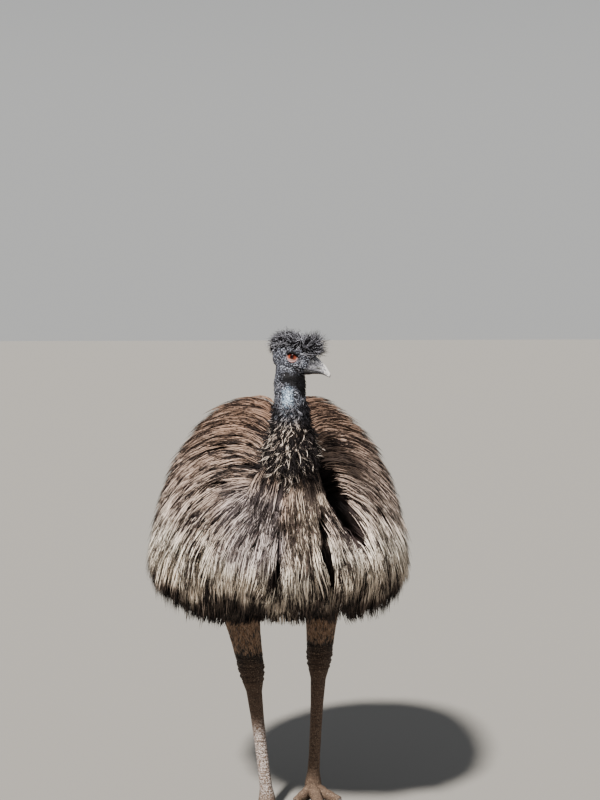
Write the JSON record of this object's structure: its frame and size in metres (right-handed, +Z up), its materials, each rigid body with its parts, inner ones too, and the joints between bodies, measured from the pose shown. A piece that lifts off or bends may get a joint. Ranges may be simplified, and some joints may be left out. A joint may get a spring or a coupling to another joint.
{
  "type": "emu",
  "caption": "Life-size standing emu with shaggy drooping plumage, bare-skinned upper neck, head turned to its left, and long scaly legs with three-toed feet.",
  "frame": {"origin": "on the floor, under the middle of the box round the bird", "axes": "+Z up, the bird's body faces -Y, and its left side is +X"},
  "size_m": [0.7228, 1.0562, 1.3859],
  "materials": {
    "body_feathers": "shaggy grey-brown feathers, fawn along the shafts, with near-black tips",
    "breast_feathers": "soft pale grey-fawn feathers, darker at the hem",
    "hair_feathers": "black hair-like feathers over dark skin",
    "neck_skin": "pale blue bare skin, wrinkled and matt",
    "leg_skin": "grey-brown scaly skin, satin",
    "bill": "dark grey horn, worn pale at the tip, satin",
    "claw": "blackish horn, satin",
    "eye": "orange-brown iris with a black pupil, wet gloss"
  },
  "bodies": {
    "root": {"head": "hair_feathers", "bill_upper": "bill", "bill_lower": "bill", "eye_left": "eye", "eye_right": "eye", "neck_upper": "neck_skin", "neck_lower": "hair_feathers", "breast": "breast_feathers", "torso_left": "body_feathers", "torso_right": "body_feathers", "tail": "body_feathers", "leg_left": "leg_skin", "leg_right": "leg_skin", "tarsus_left": "leg_skin", "tarsus_right": "leg_skin", "foot_left": "leg_skin", "foot_right": "leg_skin", "claw_left_inner": "claw", "claw_left_middle": "claw", "claw_left_outer": "claw", "claw_right_inner": "claw", "claw_right_middle": "claw", "claw_right_outer": "claw"}
  },
  "joints": []
}
